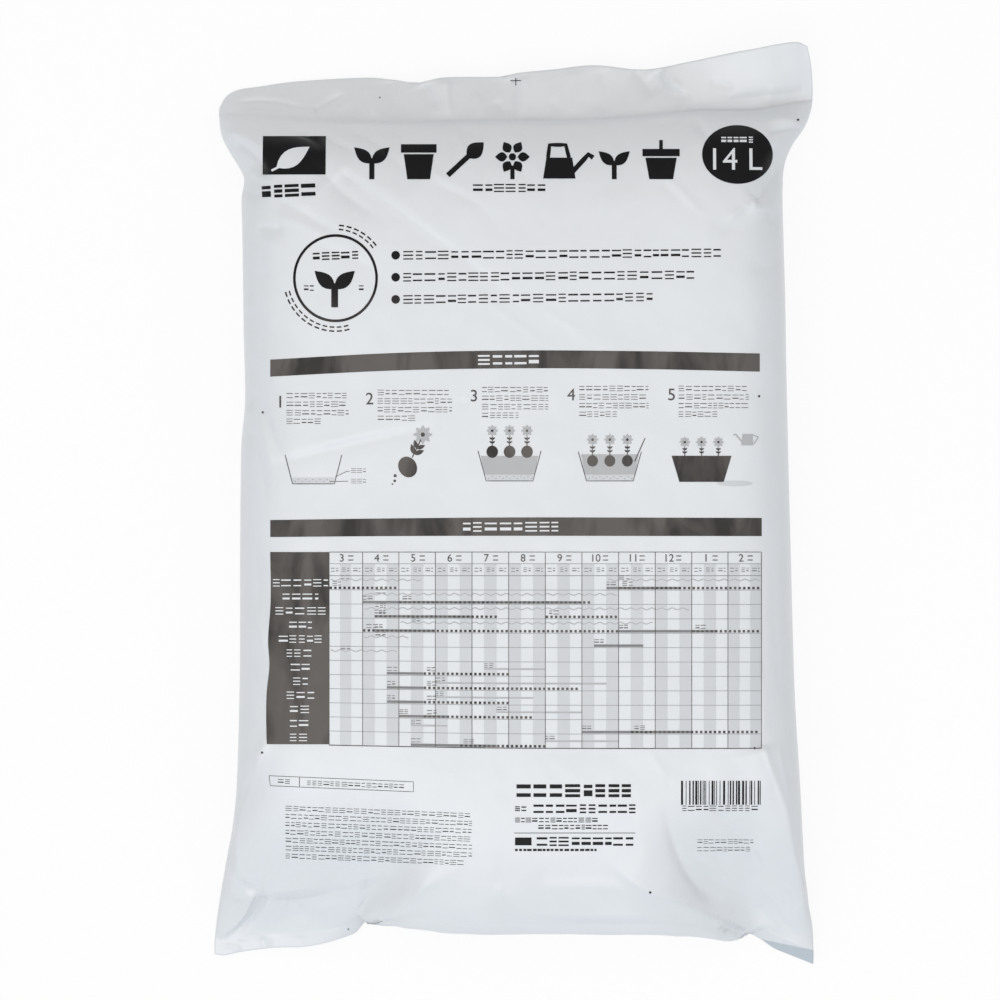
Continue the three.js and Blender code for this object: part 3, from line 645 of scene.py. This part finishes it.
class Print:
    """Shapes of one ink."""

    def __init__(self):
        self.points, self.faces = [], []

    def grid(self, rows):
        """A mesh over rows of points."""
        start, width = len(self.points), len(rows[0])
        for row in rows:
            self.points.extend(map(tuple, row))
        for r in range(len(rows) - 1):
            for i in range(width - 1):
                a = start + r * width + i
                self.faces.append((a, a + 1, a + width + 1, a + width))

    def field(self, lower, upper, cell=CELL):
        """A field between two smooth edges that run left to right."""
        lower, upper = np.array(lower, float), np.array(upper, float)
        length = np.hypot(*np.diff(lower, axis=0).T).sum()
        height = np.hypot(*(upper - lower).T).max() if len(upper) == len(lower) else 20
        t = np.linspace(0, 1, max(2, int(length / cell) + 2))
        run = lambda edge: np.stack([curve(*zip(np.linspace(0, 1, len(edge)), edge[:, k]))(t)
                                     for k in (0, 1)], 1)
        a, b = run(lower), run(upper)
        self.grid([a + (b - a) * s for s in np.linspace(0, 1, max(2, int(height / cell) + 2))])

    def box(self, left, low, right, high, cell=CELL):
        """An upright oblong."""
        self.field([(left, low), (right, low)], [(left, high), (right, high)], cell)

    def disc(self, x, y, rx, ry=None, turn=0.0, hole=0.0, cell=CELL, start=0.0, end=360.0):
        """An ellipse, a ring or a sector of one; hole is a share of the radius."""
        ry = rx if ry is None else ry
        count = max(10, int(abs(end - start) / 360 * 2 * math.pi * max(rx, ry) / min(cell, 1.2 + rx / 8)))
        angle = np.radians(np.linspace(start, end, count + 1))
        c, s = math.cos(math.radians(turn)), math.sin(math.radians(turn))
        rows = []
        for share in np.linspace(max(hole, 0.001), 1, max(2, int(max(rx, ry) * (1 - hole) / cell) + 2)):
            ex, ey = rx * share * np.cos(angle), ry * share * np.sin(angle)
            rows.append(np.stack([x + ex * c - ey * s, y + ex * s + ey * c], 1)[::-1])
        self.grid(rows)

    def leaf(self, x, y, long, wide, turn):
        """A pointed leaf from its foot at x, y."""
        t = np.linspace(0, 1, 9)
        half = wide / 2 * np.sin(math.pi * t**0.85)
        c, s = math.cos(math.radians(turn)), math.sin(math.radians(turn))
        self.grid([np.stack([x + long * t * c - sign * half * s, y + long * t * s + sign * half * c], 1)
                   for sign in (-1, 0, 1)])

    def line(self, points, width, cell=3.0):
        """A line of even width along points."""
        points = np.array(points, float)
        dense = [points[:1]]
        for a, b in zip(points, points[1:]):
            n = max(1, int(np.hypot(*(b - a)) / cell))
            dense.append(a + (b - a) * np.linspace(0, 1, n + 1)[1:, None])
        p = np.vstack(dense)
        along = np.gradient(p, axis=0)
        along /= np.hypot(*along.T)[:, None]
        side = np.stack([-along[:, 1], along[:, 0]], 1) * width / 2
        self.grid([p - side, p + side])

    def words(self, start, end, size, seed, weight=1.0):
        """A row of plain dashes that stands for small type, size being the height of a letter."""
        rng = np.random.default_rng(seed)
        start, end = np.array(start, float), np.array(end, float)
        length = np.hypot(*(end - start))
        way = (end - start) / length
        up = np.array([-way[1], way[0]])
        place = 0.0
        while place < length - size * 0.3:
            wide = min(size * rng.uniform(0.55, 1.0), length - place)
            steps = np.linspace(place, place + wide, max(2, int(wide / CELL) + 1))[:, None]
            marks = [(0, 0.45)] if size <= 3.3 else [
                [(-0.3, 0.2), (0.27, 0.22)], [(-0.34, 0.16), (-0.01, 0.18), (0.32, 0.16)],
                [(-0.18, 0.32), (0.27, 0.18)]][rng.integers(3)]
            for level, thick in marks:
                edges = level - weight * thick / 2, level + weight * thick / 2
                self.grid([start + way * steps + up * size * edge for edge in edges])
            place += wide + size * rng.uniform(0.14, 0.3)

    def number(self, text, x, y, height):
        """Plain figures centred at x, y."""
        font = bpy.data.curves.new("figures", "FONT")
        font.body, font.size = text, 1.0
        shape = bpy.data.objects.new("figures", font)
        bpy.context.collection.objects.link(shape)
        flat = shape.to_mesh()
        cut = bmesh.new()
        cut.from_mesh(flat)
        shape.to_mesh_clear()
        bpy.data.objects.remove(shape)
        p = np.array([v.co[:2] for v in cut.verts])
        low, high = p.min(0), p.max(0)
        scale = height / (high[1] - low[1])
        for axis in (0, 1):
            for place in np.arange(low[axis], high[axis], CELL / scale)[1:]:
                middle, normal = Vector(), Vector()
                middle[axis], normal[axis] = place, 1
                bmesh.ops.bisect_plane(cut, geom=cut.verts[:] + cut.edges[:] + cut.faces[:],
                                       plane_co=middle, plane_no=normal)
        cut.verts.index_update()
        start = len(self.points)
        self.points.extend((x + (v.co.x - (low[0] + high[0]) / 2) * scale,
                            y + (v.co.y - (low[1] + high[1]) / 2) * scale) for v in cut.verts)
        self.faces.extend(tuple(start + v.index for v in f.verts) for f in cut.faces)
        cut.free()

    def lay(self, name, finish, lift):
        """Lays the shapes on the film as one piece."""
        places_on_film, normals = on_film(self.points, lift)
        mesh = bpy.data.meshes.new(name)
        mesh.from_pydata(places_on_film.tolist(), [], self.faces)
        mesh.polygons.foreach_set("use_smooth", [True] * len(mesh.polygons))
        mesh.normals_split_custom_set_from_vertices(normals.tolist())
        mesh.materials.append(finish)
        piece = bpy.data.objects.new(name, mesh)
        bpy.context.collection.objects.link(piece)
        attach(piece, "root")
        return piece


# Black ink as it looks under a painted reflection over the middle of the bag, and the ink's own black at its
# two ends.
INK_WITH_SHEEN = (0.125, 0.115, 0.108)
INK_AT_ENDS = (0.008, 0.008, 0.009)
TINT = (0.60, 0.62, 0.645)
MID_GREY = (0.19, 0.195, 0.20)
SOFT_GREY = (0.44, 0.45, 0.46)
INK_LIFT, TINT_LIFT, OVER_INK = 0.20, 0.12, 0.38


def ink_finish():
    """Black ink with painted reflection: lighter and warm in tone over the middle of the bag, in slanted
    streaks of painted sheen, and dense black at its two ends.
    """
    skin = finished("black_ink")
    place = skin.node("ShaderNodeTexCoord", output="Object")
    along = skin.node("ShaderNodeSeparateXYZ", {}, {"Vector": place}, output="Y")
    slanted = skin.node("ShaderNodeMapping", {}, {
        "Vector": place, "Rotation": (0, 0, 0.75), "Scale": (2.6, 0.8, 1)})
    # Slanted streaks of painted sheen over the middle of the bag; none at its two ends.
    sheen_streaks = skin.node("ShaderNodeTexNoise", {},
                    {"Vector": slanted, "Scale": 17, "Detail": 5, "Distortion": 0.6})
    dense = along.within(0.09, 0.135) + along.within(-0.15, -0.175)
    dark_share = (dense + (1 - dense) * sheen_streaks.within(0.44, 0.66) * 0.72).within(0, 1)
    colour = skin.node("ShaderNodeMix", {"data_type": "RGBA"},
                       {"Factor": dark_share, "A": INK_WITH_SHEEN + (1,), "B": INK_AT_ENDS + (1,)}, output="Result")
    surface = skin.node("ShaderNodeBsdfPrincipled", {}, {"Base Color": colour, "Roughness": 0.3, "IOR": 1.22})
    skin.node("ShaderNodeOutputMaterial", {}, {"Surface": surface})
    return skin.owner


ink = ink_finish()
tint = film_finish("grey_tint", TINT, FILM_ROUGHNESS)
grey_ink = film_finish("grey_ink", MID_GREY, FILM_ROUGHNESS)
soft_grey = film_finish("soft_grey", SOFT_GREY, FILM_ROUGHNESS)


# Heading. A row of plain garden shapes across the head of the bag, a dark field with a leaf at
# its left, an oval with the fill in litres at its right, and a short line of type below.
heading, heading_white = Print(), Print()

heading.box(-155.6, 203.6, -116.6, 227.6)
heading_white.leaf(-147, 208, 24, 11, 32)
heading_white.line([(-150, 206), (-140, 211)], 1.4)
heading.words((-156, 193), (-120, 194.5), 9, 11, 1.25)

heading.disc(138.3, 216.1, 21.9, 18.3)
heading_white.number("14 L", 138.3, 213.2, 13.5)
heading_white.words((128.3, 225.2), (148.2, 225.2), 4.6, 12)

SHAPE_LOW, SHAPE_HIGH = 200.6, 225.4


def sprout(shape, x, low, high, thick):
    """A stem with a leaf to each side."""
    reach = (high - low) * 0.62
    shape.line([(x, low), (x, low + (high - low) * 0.55)], thick)
    shape.leaf(x, low + (high - low) * 0.42, reach, reach * 0.5, 42)
    shape.leaf(x, low + (high - low) * 0.42, reach, reach * 0.5, 138)


def pot(shape, x, low, high, wide):
    """A flowerpot with its rim."""
    rim = (high - low) * 0.24
    shape.field([(x - wide * 0.32, low), (x + wide * 0.32, low)],
                [(x - wide * 0.42, high - rim - 1), (x + wide * 0.42, high - rim - 1)])
    shape.box(x - wide / 2, high - rim, x + wide / 2, high)


def petals(shape, x, y, out, long, wide, step):
    """Petals round x, y, one every step degrees, each with its foot at the distance out."""
    for turn in range(0, 360, step):
        shape.leaf(x + out * math.cos(math.radians(turn)), y + out * math.sin(math.radians(turn)),
                   long, wide, turn)


def daisy(shape, x, y, radius):
    """A flower head with six petals."""
    petals(shape, x, y, 0.3 * radius, radius * 0.72, radius * 0.55, 60)
    shape.disc(x, y, radius * 0.22)


sprout(heading, -88, SHAPE_LOW, SHAPE_HIGH - 1, 3.2)
pot(heading, -59, SHAPE_LOW, SHAPE_HIGH - 3, 22)
heading.line([(-41, 203), (-26, 217)], 3.2)
heading.leaf(-29, 214, 14, 10, 43)
daisy(heading, -1, 214.5, 10.5)
heading.line([(-1, 200.6), (-1, 209)], 2.6)
heading.field([(18, 201), (38, 201)], [(20, 214), (36, 214)])
heading.line([(36, 205), (46, 216), (49, 214)], 3)
heading.line([(21, 214), (22, 222), (32, 222), (34, 214)], 2.4)
sprout(heading, 62, SHAPE_LOW, SHAPE_HIGH - 4, 3)
pot(heading, 91, SHAPE_LOW, SHAPE_HIGH - 6, 23)
heading.line([(91, 219), (91, 225)], 2.2)
heading.words((-25.4, 195.2), (21.1, 195.2), 6.4, 13, 0.75)

heading.lay("heading_print", ink, INK_LIFT)
heading_white.lay("heading_white", white_film, OVER_INK)


# Ring and notes. A thin ring with a sprout in it and small type bent round it, and three lines
# of type that each start with a dot.
RING_X, RING_Y = -110.4, 139.3

notes = Print()
notes.disc(RING_X, RING_Y, 26.2, 27.2, hole=0.94)
sprout(notes, RING_X - 0.5, RING_Y - 18, RING_Y + 9, 4.2)
for x, wide in ((RING_X - 19.5, 6), (RING_X + 14.5, 4.5)):
    notes.words((x, RING_Y - 6), (x + wide, RING_Y - 6), 4.6, 25, 0.7)
notes.words((RING_X - 14, RING_Y + 13.5), (RING_X + 14, RING_Y + 14.5), 6.0, 24, 0.9)
for start, end in ((38, 84), (195, 285)):
    for angle in np.arange(start, end, 8.5):
        for reach in (0.925, 1.0):
            notes.disc(RING_X, RING_Y, 32.4 * reach, 33.2 * reach, hole=0.972, start=angle, end=angle + 5.6)
for (low, right), seed in zip(((153.5, 128.3), (139.9, 114.1), (126.2, 85.6)), (21, 22, 23)):
    notes.disc(-73.2, low, 2.7)
    notes.words((-68.5, low), (right, low + 1.6), 6.8, seed, 0.66)
notes.lay("notes_print", ink, INK_LIFT)


# Heading bars. Two solid bars of ink across the bag, over the planting steps and over the table,
# each with a line of white type in its middle, where the film is bare.
bars, bars_white = Print(), Print()
bars.field([(-150.7, 78.5), (-75, 82.2), (0, 83.6), (76, 83.2), (151.9, 81.6)],
           [(-150.7, 89.0), (-75, 93.0), (0, 94.6), (76, 94.2), (151.9, 92.8)], 2.0)
bars.field([(-150.7, -20.7), (-75, -20.1), (0, -19.9), (76, -20.0), (153.1, -20.1)],
           [(-150.7, -10.2), (-75, -9.2), (0, -8.6), (76, -8.7), (153.1, -8.9)], 2.0)
bars_white.words((-22.3, 88.8), (17.4, 89.2), 7.6, 31, 0.9)
bars_white.words((-31.6, -14.4), (27.3, -14.2), 7.6, 32, 0.75)
bars.lay("bars_print", ink, INK_LIFT)
bars_white.lay("bars_white", white_film, OVER_INK)


# Planting steps. Five numbered notes of small type, each with a little drawing of a pot, tool or
# planter below it.
steps_ink, steps_grey, steps_tint = Print(), Print(), Print()

# Each step's figure (x, y) and the left and right ends of its lines of type.
STEPS = [(-144.5, 63.6, -140.7, -102.3), (-89.3, 65.5, -84.3, -38.4), (-24.8, 67.3, -19.8, 21.1),
         (35.3, 68.0, 40.3, 83.1), (97.3, 68.0, 101.7, 145.1)]
STEP_LINES, LINE_PITCH = 4, 5.3
for n, (number_x, number_y, left, right) in enumerate(STEPS):
    steps_ink.number(str(n + 1), number_x, number_y - 0.6, 7.2)
    for k in range(STEP_LINES):
        short = 0.55 if k == STEP_LINES - 1 else 1.0
        y = number_y + 3.2 - LINE_PITCH * k
        steps_ink.words((left, y), (left + (right - left) * short, y), 4.4, 40 + 7 * n + k, 0.4)


def planter(x, wide, low, high, soil):
    """A planter cut through: its outline, the drainage layer in its foot and the soil above it."""
    inset = wide * 0.13
    steps_ink.line([(x - wide / 2, high), (x - wide / 2 + inset, low), (x + wide / 2 - inset, low),
                    (x + wide / 2, high)], 0.45)
    steps_tint.box(x - wide / 2 + inset, low + 0.6, x + wide / 2 - inset, low + 3.8)
    for k in range(int((wide - 2 * inset) / 2.2)):
        steps_grey.disc(x - wide / 2 + inset + 1.6 + 2.2 * k, low + 1.5 + 1.1 * (k % 2), 0.5)
    if soil:
        foot = [(x - wide / 2 + inset * 0.8, low + 4), (x + wide / 2 - inset * 0.8, low + 4)]
        top = [(x - wide / 2 + inset * 0.35, high - soil), (x + wide / 2 - inset * 0.35, high - soil)]
        steps_grey.field(foot, top)


def flower(x, foot, high, radius):
    """A flower on its stem, with two pairs of leaves."""
    top = foot + high
    steps_ink.line([(x, foot), (x, top - radius)], 0.5)
    for share in (0.18, 0.42):
        for turn in (40, 140):
            steps_ink.leaf(x, foot + share * high, high * 0.24, high * 0.11, turn)
    petals(steps_grey, x, top, 0.25 * radius, radius * 0.78, radius * 0.5, 45)
    steps_ink.disc(x, top, radius * 0.24)


# planter without soil, with two leader lines to its labels
planter(-124.0, 35, 12.2, 30.1, 0)
steps_ink.line([(-110.5, 16.6), (-103.2, 20.0), (-101.6, 20.0)], 0.3)
steps_ink.line([(-114.0, 13.6), (-102.6, 13.8)], 0.3)
for y in (20.4, 13.9):
    steps_ink.words((-100.8, y), (-91.6, y), 3.6, 37, 0.35)
# seedling out of its pot
steps_ink.disc(-65.8, 22.6, 5.6, 6.6, 28)
steps_ink.line([(-63.0, 28.5), (-57.6, 39.5)], 0.7)
for turn in (20, 105):
    steps_ink.leaf(-61.8, 30.5, 6.6, 3.0, turn)
    steps_ink.leaf(-60.2, 34.0, 5.6, 2.6, turn)
petals(steps_grey, -56.4, 42.6, 1.4, 4.6, 2.6, 45)
steps_ink.disc(-56.4, 42.6, 1.4)
for x, y, size in ((-73.5, 17.2, 1.0), (-73.8, 14.0, 0.85), (-75.2, 12.0, 0.5)):
    steps_ink.disc(x, y, size)
# planter with three flowers set on the soil
planter(-2.8, 39, 14.0, 32.6, 3.2)
for x in (-13.5, -2.8, 8.0):
    steps_ink.disc(x, 32.0, 3.6, 3.8)
    flower(x, 35.5, 9.5, 3.6)
# planter filled up round them, with a trowel
planter(59.2, 39, 14.0, 32.0, 1.6)
for x in (48.5, 59.2, 70.0):
    steps_ink.disc(x, 26.4, 3.4, 3.6)
    flower(x, 30.0, 9.5, 3.6)
steps_ink.line([(74.5, 26), (81.0, 40.5)], 0.6)
# finished planter with its shadow, and a watering can
steps_ink.field([(102.2, 13.4), (129.6, 13.4)], [(97.4, 29.5), (134.4, 29.5)])
steps_tint.disc(136.5, 12.4, 11.0, 1.7)
for x in (105.5, 115.9, 126.3):
    flower(x, 29.5, 8.5, 3.4)
steps_grey.field([(140.5, 36.0), (148.0, 36.0)], [(141.2, 43.0), (147.4, 43.0)])
steps_grey.line([(141.5, 37.5), (137.0, 42.8), (135.6, 42.4)], 1.0)
steps_grey.line([(147.4, 42.4), (151.0, 41.2), (148.4, 37.0)], 0.8)

steps_tint.lay("steps_tint", tint, TINT_LIFT)
steps_grey.lay("steps_grey", soft_grey, INK_LIFT)
STEPS_LIFT = INK_LIFT + 0.05
steps_ink.lay("steps_print", ink, STEPS_LIFT)


# Calendar table. Twelve months over tinted thirds, a dark column of plant names in white type,
# and for each of twelve plants its flowering, feeding, planting and cropping times.
TABLE_LEFT, MONTHS_LEFT, TABLE_RIGHT = -150.7, -114.3, 152.9
TABLE_TOP, THIRDS_TOP, ROWS_TOP, COLUMN_FOOT = -30.0, -37.2, -44.6, -148.8
PLANTS = 12
RULE, FINE_RULE, FOOT_RULE = 0.35, 0.22, 0.5
table_ink, table_tint, table_white, table_grey, table_soft = (Print() for _ in range(5))

month_edge = curve((0, MONTHS_LEFT), (1, -93.6), (6, 19.3), (11, 132.2), (12, TABLE_RIGHT))


def row_y(x, row):
    """Height on the bag of a place in the table, counted in rows from the first."""
    foot = curve((TABLE_LEFT, -148.4), (-100, -149.6), (0, -151.2), (TABLE_RIGHT, -151.4))(x)
    return ROWS_TOP + (foot - ROWS_TOP) * row / PLANTS


def across_table(start, end, row, count=24):
    """Points along a row of the table, from one month to another."""
    xs = np.linspace(month_edge(start), month_edge(end), count)
    return [(x, row_y(x, row)) for x in xs]


for third in range(1, 36, 2):
    left, right = month_edge(third / 3), month_edge((third + 1) / 3)
    rows = [[(x, y) for x in np.linspace(left, right, 5)] for y in (THIRDS_TOP, ROWS_TOP)]
    rows += [[(x, row_y(x, r)) for x in np.linspace(left, right, 5)] for r in np.linspace(0.4, PLANTS, 40)]
    table_tint.grid(rows[::-1])

column = [(-150.7, -30.0), (-150.4, -60), (-152.0, -85), (-151.2, -100), (-152.8, -116),
          (-153.2, -131), (-152.9, -148.4)]
edge = curve(*[(y, x) for x, y in column[::-1]])
rows = []
for y in np.linspace(TABLE_TOP, COLUMN_FOOT, 110):
    rows.append([(x, y) for x in np.linspace(edge(y), MONTHS_LEFT, 36)])
table_ink.grid(rows[::-1])
NAMES_X = -132
NAME_WIDTHS = (34, 22, 31, 14, 27, 17, 12, 9, 17, 13, 13, 13)
for row, wide in enumerate(NAME_WIDTHS):
    y = row_y(NAMES_X, row + 0.5)
    table_white.words((NAMES_X - wide / 2, y), (NAMES_X + wide / 2, y), 6.0, 60 + row, 0.62)

MONTH_Y, THIRD_Y = -33.6, -40.9
for month, label in enumerate((3, 4, 5, 6, 7, 8, 9, 10, 11, 12, 1, 2)):
    middle = month_edge(month + 0.5)
    table_ink.number(str(label), middle - 2.4, MONTH_Y, 4.6)
    table_ink.words((middle + 1.6, MONTH_Y), (middle + 4.8, MONTH_Y), 4.4, 80, 0.6)
    for third in range(3):
        x = month_edge(month + (third + 0.5) / 3)
        table_grey.words((x - 2.3, THIRD_Y), (x + 2.3, THIRD_Y), 3.4, 90 + third, 0.6)
for month in range(13):
    x = month_edge(month)
    table_ink.line([(x, TABLE_TOP)] + [(x, row_y(x, r)) for r in np.linspace(0, PLANTS, 36)], RULE)
for row in range(PLANTS + 1):
    table_grey.line(across_table(0, 12, row, 120), FINE_RULE if row else RULE)
head_xs = np.linspace(MONTHS_LEFT, TABLE_RIGHT, 100)
table_ink.line([(x, TABLE_TOP) for x in head_xs], RULE)
table_grey.line([(x, THIRDS_TOP) for x in head_xs], FINE_RULE)
table_ink.line(across_table(0, 12, PLANTS, 120), FOOT_RULE)

# Where the marks lie in a row, as shares of its height from its top, and the pitch of the dots.
WAVE_PLACE, MARK_PLACE = 0.3, 0.86
DOT_PITCH, DOT_HALF = 2.84, 0.75


def wave(start, end, row):
    """Flowering time."""
    xs = np.arange(month_edge(start) + 1, month_edge(end) - 1, 0.8)
    table_soft.line([(x, row_y(x, row + WAVE_PLACE) + 0.55 * math.sin(x * 0.98)) for x in xs], 0.6, 9)


def dots(start, end, row):
    """Feeding time."""
    for x in np.arange(month_edge(start) + 1.0, month_edge(end) - 0.5, DOT_PITCH):
        y = row_y(x, row + MARK_PLACE)
        table_ink.box(x - DOT_HALF, y - DOT_HALF, x + DOT_HALF, y + DOT_HALF, 3)


def bar(start, end, row, shape=table_grey, place=MARK_PLACE, wide=1.5):
    """Planting or cropping time."""
    shape.line(across_table(start, end, row + place, max(3, int((end - start) * 9))), wide, 9)


def note(start, row, place=0.55, wide=6.5):
    """The small word that stands over the start of a time."""
    x = month_edge(start)
    y = row_y(x, row + place)
    table_grey.words((x, y), (x + wide, y), 3.4, int(start * 7 + row), 0.7)


CALENDAR = [
    # flowering (waves), feeding (dots), planting (bars), cropping (thin bars)
    (((0, 2.67), (7.67, 12)), ((0, 2), (8, 12)), ((7.67, 9.67),), ()),
    (((1, 8),), ((2, 7.33),), ((1, 7),), ()),
    (((1, 10),), ((1.33, 4.67), (6, 8)), ((1.33, 4),), ()),
    (((2, 9),), ((1, 8), (10, 12)), ((1.33, 3), (8, 10.67)), ()),
    (((1, 2.33),), (), ((7.33, 8.67),), ()),
    (((0, 2),), (), (), ()),
    ((), ((2.67, 5),), ((1.67, 2.67),), ((4.33, 6),)),
    ((), ((2.67, 7),), ((1.67, 2.67),), ((3, 7.67),)),
    ((), ((2.67, 5),), ((1.67, 2.67),), ((3, 5.67),)),
    ((), ((2.67, 5.67),), ((2, 3.33),), ((4.67, 7),)),
    ((), ((8.33, 12),), ((7, 10),), ((2.33, 3.33),)),
    ((), ((3.67, 6),), ((2.33, 4.67),), ((6, 8),)),
]
for row, (flowering, feeding, planting, cropping) in enumerate(CALENDAR):
    for span in flowering:
        wave(*span, row)
        note(span[0] + 0.35, row, 0.1)
    for span in feeding:
        dots(*span, row)
        note(span[0] + 0.1, row)
    for span in planting:
        bar(*span, row)
        note(span[0], row)
    for span in cropping:
        bar(*span, row, table_soft, 0.5, 1.0)
        note(span[0], row, 0.26)

table_tint.lay("table_tint", tint, TINT_LIFT)
SOFT_LIFT, TABLE_INK_LIFT, NAMES_LIFT = INK_LIFT - 0.03, INK_LIFT + 0.06, OVER_INK + 0.04
table_soft.lay("table_soft", soft_grey, SOFT_LIFT)
table_grey.lay("table_grey", grey_ink, INK_LIFT)
table_ink.lay("table_print", ink, TABLE_INK_LIFT)
table_white.lay("table_white", white_film, NAMES_LIFT)


# Foot of the print. A framed line over a block of fine type, a block of larger type with a rule
# and a small solid box, and a block of stripes of mixed width over three short lines.
foot = Print()
foot.line([(-151.5, -168.3), (-62.2, -172.0), (-62.2, -178.2), (-150.7, -174.5), (-151.5, -168.3)], 0.28)
foot.line([(-132.7, -169.1), (-132.7, -175.2)], 0.35)
foot.words((-146, -171.6), (-137, -172.0), 3.6, 101, 0.5)
foot.words((-128, -172.6), (-68, -174.9), 3.6, 102, 0.5)
for k in range(7):
    left, right = -188.4 - 4.95 * k, -192.9 - 4.87 * k
    foot.words((-141.4, left), (-26 if k < 6 else -31, right), 4.0, 110 + k, 0.4)
foot.words((1.5, -177.4), (75, -177.4), 9.4, 120, 1.2)
foot.words((0.6, -188.6), (8.6, -188.6), 3.6, 121)
foot.words((12, -188.6), (75, -188.6), 6.8, 122, 0.9)
foot.words((0.6, -195.6), (52, -195.6), 3.6, 123, 0.8)
foot.words((15, -200.0), (60, -200.0), 3.6, 124, 0.8)
foot.line([(0, -203.7), (75, -203.7)], 0.35)
foot.box(0.6, -211.3, 10.8, -206.5)
foot.words((14, -208.9), (75, -208.9), 7.0, 125, 0.85)
foot.words((0.6, -214.2), (51, -214.2), 3.0, 126)
STRIPE = 0.42
STRIPES_LEFT, STRIPES_LOW, STRIPES_RIGHT, STRIPES_HIGH = 103.2, -186.2, 152.5, -171.4
stripes = np.random.default_rng(5)
x = STRIPES_LEFT
while x < STRIPES_RIGHT - 0.5:
    wide = STRIPE * stripes.integers(1, 4)
    foot.box(x, STRIPES_LOW, min(x + wide, STRIPES_RIGHT), STRIPES_HIGH, 5)
    x += wide + STRIPE * stripes.integers(1, 5)
foot.words((104, -188.4), (151, -188.4), 4.4, 127, 0.5)
foot.words((113.5, -209.0), (148.2, -209.2), 3.6, 128, 0.35)
foot.words((113.5, -213.8), (148, -214.0), 3.6, 129, 0.35)
foot.lay("foot_print", ink, INK_LIFT)


# Vent holes. Pin pricks through the film that let the air out of the stacked bag, dark where they
# are seen, and the printer's cross mark on the top band.
vents, faint_vents = Print(), Print()
for x, y in ((-155.4, 56.4), (-155.8, -154.0), (151.5, 66.4), (148.7, -151.3), (84.2, -240.6),
             (176.1, 238.0)):
    vents.disc(x, y, 0.75)
for x, y in ((-103.0, -264.4), (-83.4, 252.1)):
    faint_vents.disc(x, y, 0.55)
vents.line([(-2.2, 262.6), (4.4, 262.6)], 0.45)
vents.line([(1.2, 259.6), (1.2, 264.2)], 0.45)
vents.lay("vent_holes", ink, INK_LIFT)
faint_vents.lay("faint_vent_holes", grey_ink, INK_LIFT)
